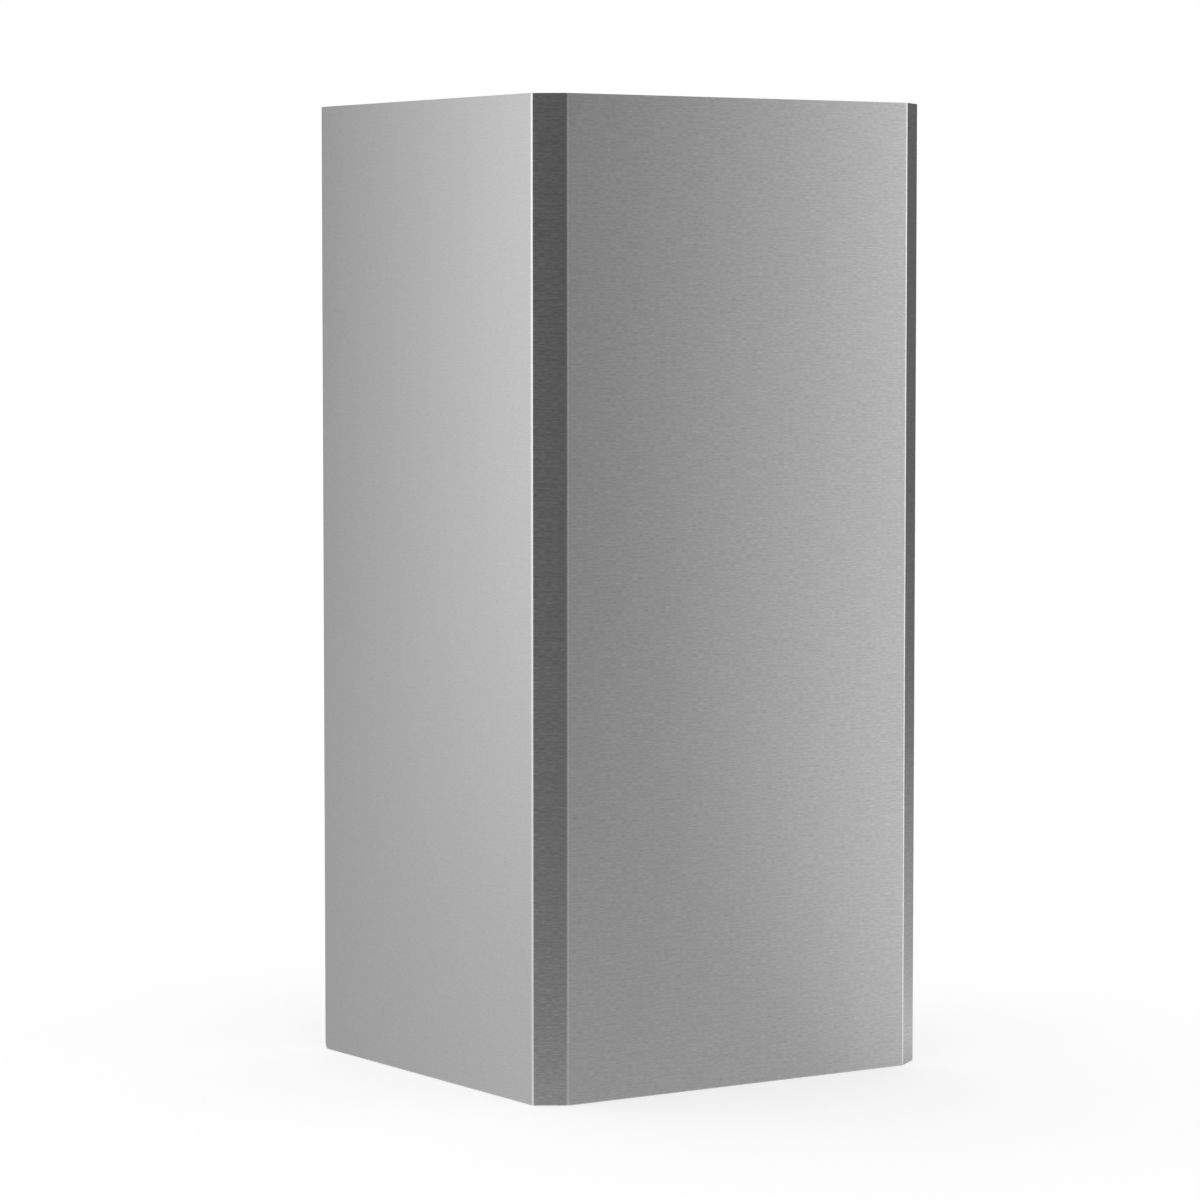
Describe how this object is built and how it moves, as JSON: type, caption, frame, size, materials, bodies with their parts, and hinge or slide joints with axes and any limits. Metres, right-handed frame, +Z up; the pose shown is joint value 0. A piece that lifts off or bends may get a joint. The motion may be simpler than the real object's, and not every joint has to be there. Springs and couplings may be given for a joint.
{
  "type": "cooker hood chimney section",
  "caption": "Upright folded stainless chimney cover for a wall cooker hood: flat front and sides with slim bevelled front corners, open at the back, top and base to hide the duct.",
  "frame": {"origin": "centre of the outside footprint, on the plane that the lower rim stands on", "axes": "+Z up along the chimney, -Y out of the front wall, +Y towards the wall of the room, +X to the right seen from the front"},
  "size_m": [0.3, 0.27, 0.63],
  "materials": {
    "brushed_stainless": "fine brushed grain running across the panels"
  },
  "bodies": {
    "root": {"chimney_shell": "brushed_stainless"}
  },
  "joints": []
}
